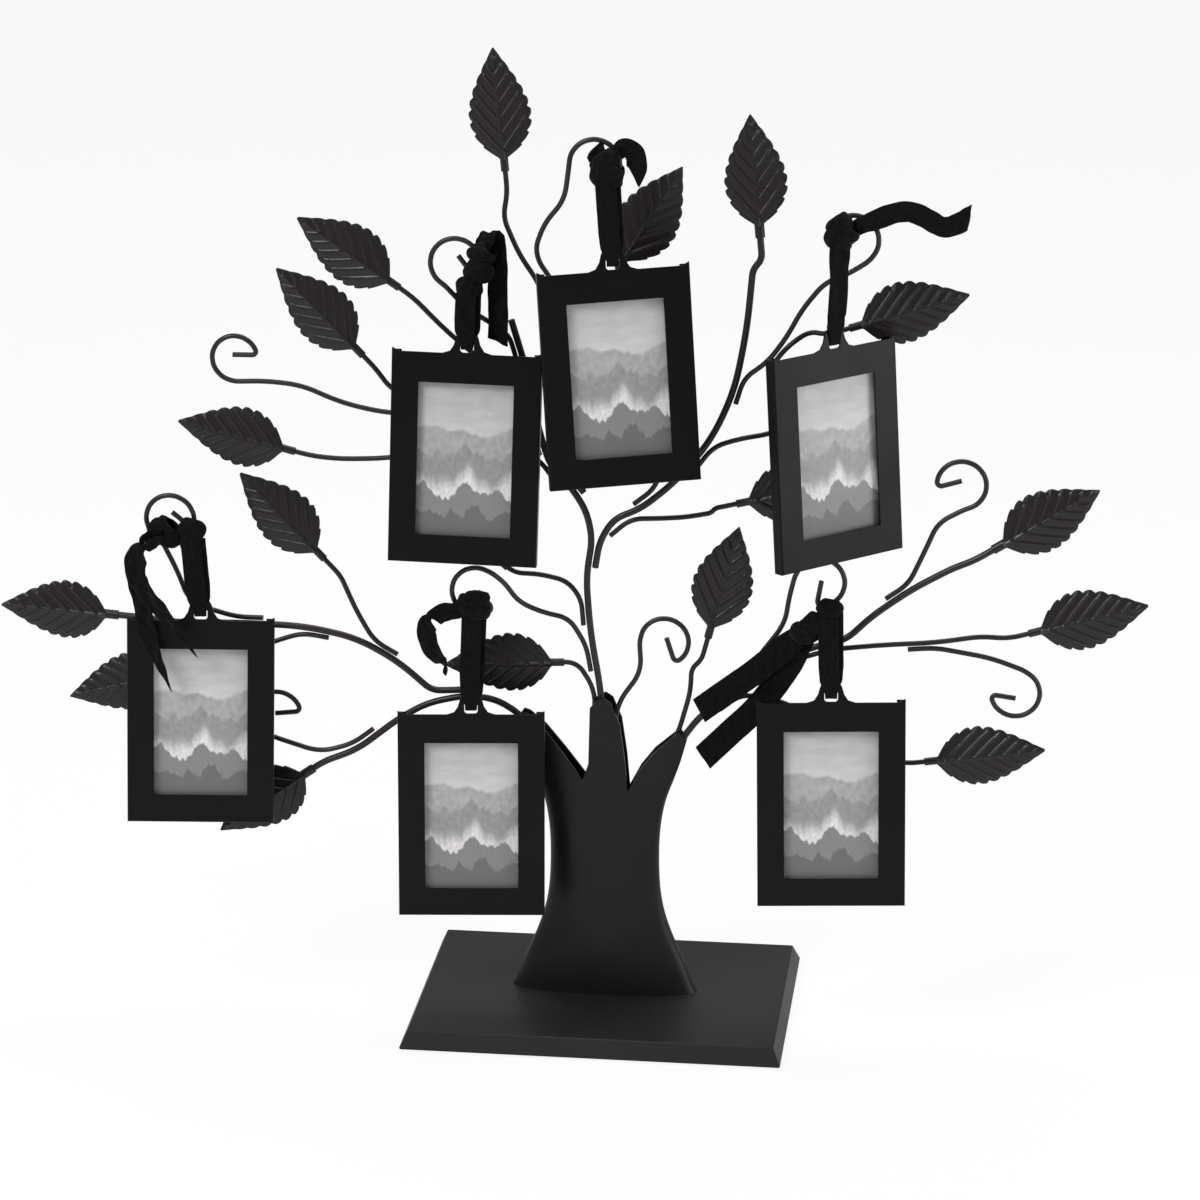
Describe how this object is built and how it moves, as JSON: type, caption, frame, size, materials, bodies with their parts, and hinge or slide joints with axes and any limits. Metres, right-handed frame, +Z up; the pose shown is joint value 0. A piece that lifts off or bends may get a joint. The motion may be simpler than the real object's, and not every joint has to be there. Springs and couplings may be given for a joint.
{
  "type": "photo tree stand",
  "caption": "Black metal tree on a bevelled base, with scroll hooks and stamped leaves, holding small hanging photo frames on ribbons.",
  "frame": {"origin": "middle of the underside of the base", "axes": "+X to the right of the tree seen from its front, +Y to its back, +Z up"},
  "size_m": [0.5481, 0.1332, 0.471],
  "materials": {
    "black_metal": "satin black powder coat",
    "base_paint": "matt black paint on board",
    "felt": "thin black felt",
    "screw_steel": "zinc plated",
    "clear_plastic": "clear sheet",
    "print_paper": "satin paper print in greys, backed by card",
    "velvet_ribbon": "black velvet ribbon"
  },
  "bodies": {
    "root": {"base_board": "base_paint", "base_felt_pad": "felt", "hook_1": "black_metal", "hook_2": "black_metal", "hook_3": "black_metal", "hook_4": "black_metal", "hook_5": "black_metal", "hook_6": "black_metal", "leaves_left_lower": "black_metal", "leaves_left_upper": "black_metal", "leaves_middle": "black_metal", "leaves_right_lower": "black_metal", "leaves_right_upper": "black_metal", "leaves_top": "black_metal", "limb_left_lower": "black_metal", "limb_left_upper": "black_metal", "limb_middle": "black_metal", "limb_right_lower": "black_metal", "limb_right_upper": "black_metal", "limb_top": "black_metal", "scroll_left_lower": "black_metal", "scroll_left_upper": "black_metal", "scroll_middle": "black_metal", "scroll_right_lower": "black_metal", "scroll_right_upper": "black_metal", "trunk_foot_plate": "black_metal", "trunk_front_shell": "black_metal", "trunk_rear_shell": "black_metal", "trunk_screws": "screw_steel"},
    "hanger_1": {"frame_1_ribbon_knot": "velvet_ribbon"},
    "frame_1": {"frame_1_shell": "black_metal", "frame_1_ribbon_loop": "velvet_ribbon"},
    "photo_1": {"frame_1_cover": "clear_plastic", "frame_1_print": "print_paper"},
    "hanger_2": {"frame_2_ribbon_knot": "velvet_ribbon"},
    "frame_2": {"frame_2_shell": "black_metal", "frame_2_ribbon_loop": "velvet_ribbon"},
    "photo_2": {"frame_2_cover": "clear_plastic", "frame_2_print": "print_paper"},
    "hanger_3": {"frame_3_ribbon_knot": "velvet_ribbon"},
    "frame_3": {"frame_3_shell": "black_metal", "frame_3_ribbon_loop": "velvet_ribbon"},
    "photo_3": {"frame_3_cover": "clear_plastic", "frame_3_print": "print_paper"},
    "hanger_4": {"frame_4_ribbon_knot": "velvet_ribbon"},
    "frame_4": {"frame_4_shell": "black_metal", "frame_4_ribbon_loop": "velvet_ribbon"},
    "photo_4": {"frame_4_cover": "clear_plastic", "frame_4_print": "print_paper"},
    "hanger_5": {"frame_5_ribbon_knot": "velvet_ribbon"},
    "frame_5": {"frame_5_shell": "black_metal", "frame_5_ribbon_loop": "velvet_ribbon"},
    "photo_5": {"frame_5_cover": "clear_plastic", "frame_5_print": "print_paper"},
    "hanger_6": {"frame_6_ribbon_knot": "velvet_ribbon"},
    "frame_6": {"frame_6_shell": "black_metal", "frame_6_ribbon_loop": "velvet_ribbon"},
    "photo_6": {"frame_6_cover": "clear_plastic", "frame_6_print": "print_paper"}
  },
  "joints": [
    {"name": "frame_1_swing", "type": "hinge", "parent": "root", "child": "hanger_1", "pos_m": [-0.205, -0.018, 0.247], "axis": [0, 1, 0], "range_deg": [-6, 6]},
    {"name": "frame_1_turn", "type": "hinge", "parent": "hanger_1", "child": "frame_1", "pos_m": [-0.1935, -0.02196, 0.2345], "axis": [0, 0, 1], "range_deg": [-18, 6]},
    {"name": "photo_1_slide", "type": "slide", "parent": "frame_1", "child": "photo_1", "axis": [0.016, 0.0734, 0.9972], "range_m": [0, 0.02]},
    {"name": "frame_2_swing", "type": "hinge", "parent": "root", "child": "hanger_2", "pos_m": [-0.0675, -0.0162, 0.374], "axis": [0, 1, 0], "range_deg": [-6, 6]},
    {"name": "frame_2_turn", "type": "hinge", "parent": "hanger_2", "child": "frame_2", "pos_m": [-0.061, -0.01998, 0.357], "axis": [0, 0, 1], "range_deg": [-10, 6]},
    {"name": "photo_2_slide", "type": "slide", "parent": "frame_2", "child": "photo_2", "axis": [0.024, 0.0705, 0.9972], "range_m": [0, 0.012]},
    {"name": "frame_3_swing", "type": "hinge", "parent": "root", "child": "hanger_3", "pos_m": [-0.0015, -0.02808, 0.424], "axis": [0, 1, 0], "range_deg": [-6, 6]},
    {"name": "frame_3_turn", "type": "hinge", "parent": "hanger_3", "child": "frame_3", "pos_m": [0.005, -0.03204, 0.413], "axis": [0, 0, 1], "range_deg": [-10, 16]},
    {"name": "photo_3_slide", "type": "slide", "parent": "frame_3", "child": "photo_3", "axis": [-0.0667, 0.0561, 0.9962], "range_m": [0, 0.025]},
    {"name": "frame_4_swing", "type": "hinge", "parent": "root", "child": "hanger_4", "pos_m": [0.1155, -0.018, 0.39], "axis": [0, 1, 0], "range_deg": [-5, 6]},
    {"name": "frame_4_turn", "type": "hinge", "parent": "hanger_4", "child": "frame_4", "pos_m": [0.11, -0.0261, 0.38725], "axis": [0, 0, 1], "range_deg": [-42, 3]},
    {"name": "photo_4_slide", "type": "slide", "parent": "frame_4", "child": "photo_4", "axis": [-0.0602, 0.04, 0.9974], "range_m": [0, 0.02]},
    {"name": "frame_5_swing", "type": "hinge", "parent": "root", "child": "hanger_5", "pos_m": [-0.059, -0.018, 0.2165], "axis": [0, 1, 0], "range_deg": [-6, 6]},
    {"name": "frame_5_turn", "type": "hinge", "parent": "hanger_5", "child": "frame_5", "pos_m": [-0.0595, -0.02196, 0.2025], "axis": [0, 0, 1], "range_deg": [-20, 6]},
    {"name": "photo_5_slide", "type": "slide", "parent": "frame_5", "child": "photo_5", "axis": [-0.005, 0.0697, 0.9976], "range_m": [0, 0.02]},
    {"name": "frame_6_swing", "type": "hinge", "parent": "root", "child": "hanger_6", "pos_m": [0.103, -0.018, 0.227], "axis": [0, 1, 0], "range_deg": [-6, 6]},
    {"name": "frame_6_turn", "type": "hinge", "parent": "hanger_6", "child": "frame_6", "pos_m": [0.1085, -0.02196, 0.21], "axis": [0, 0, 1], "range_deg": [-10, 14]},
    {"name": "photo_6_slide", "type": "slide", "parent": "frame_6", "child": "photo_6", "axis": [-0.0216, 0.0682, 0.9974], "range_m": [0, 0.017]}
  ]
}
